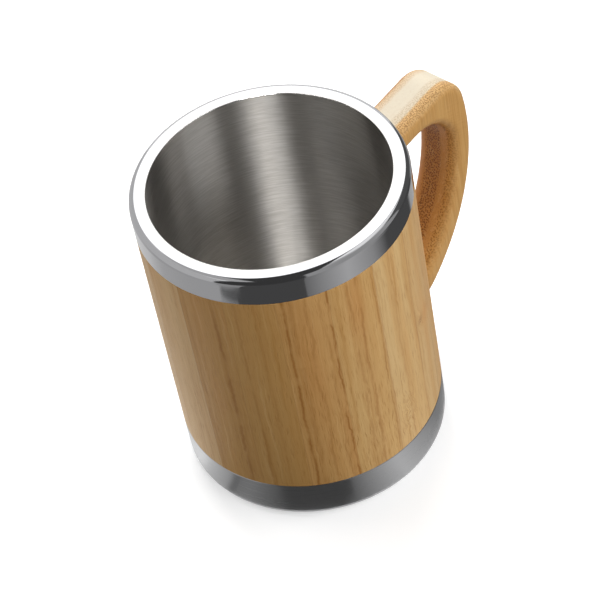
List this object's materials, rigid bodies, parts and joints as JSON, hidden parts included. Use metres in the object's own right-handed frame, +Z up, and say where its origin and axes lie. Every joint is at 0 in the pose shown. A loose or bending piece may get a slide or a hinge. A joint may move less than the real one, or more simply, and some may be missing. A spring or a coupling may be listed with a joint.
{
  "type": "bamboo mug",
  "caption": "Straight-sided bamboo mug with a double steel wall, polished steel rim, satin steel base and a rounded bamboo handle, for hot or cold drinks.",
  "frame": {"origin": "on the mug's axis, on the surface that it stands on", "axes": "+Z up along the mug's axis, +X towards the handle"},
  "size_m": [0.122, 0.084, 0.1072],
  "materials": {
    "brushed_steel": "brushed round the wall",
    "plain_steel": "plain drawn sheet",
    "polished_steel": "mirror polished",
    "satin_steel": "satin, brushed round the band",
    "silicone": "matte",
    "sleeve_bamboo": "sanded and clear lacquered, upright grain",
    "handle_bamboo": "sanded and clear lacquered, upright grain",
    "screw_steel": "zinc plated"
  },
  "bodies": {
    "root": {"inner_cup": "brushed_steel", "outer_wall": "plain_steel", "wall_bottom": "plain_steel", "rim_collar": "polished_steel", "base_band": "satin_steel", "base_plate": "satin_steel", "foot_pad": "silicone", "upper_seal": "silicone", "lower_seal": "silicone", "sleeve_staves": "sleeve_bamboo", "handle_core": "handle_bamboo", "handle_left_cheek": "handle_bamboo", "handle_right_cheek": "handle_bamboo", "handle_screws": "screw_steel"}
  },
  "joints": []
}
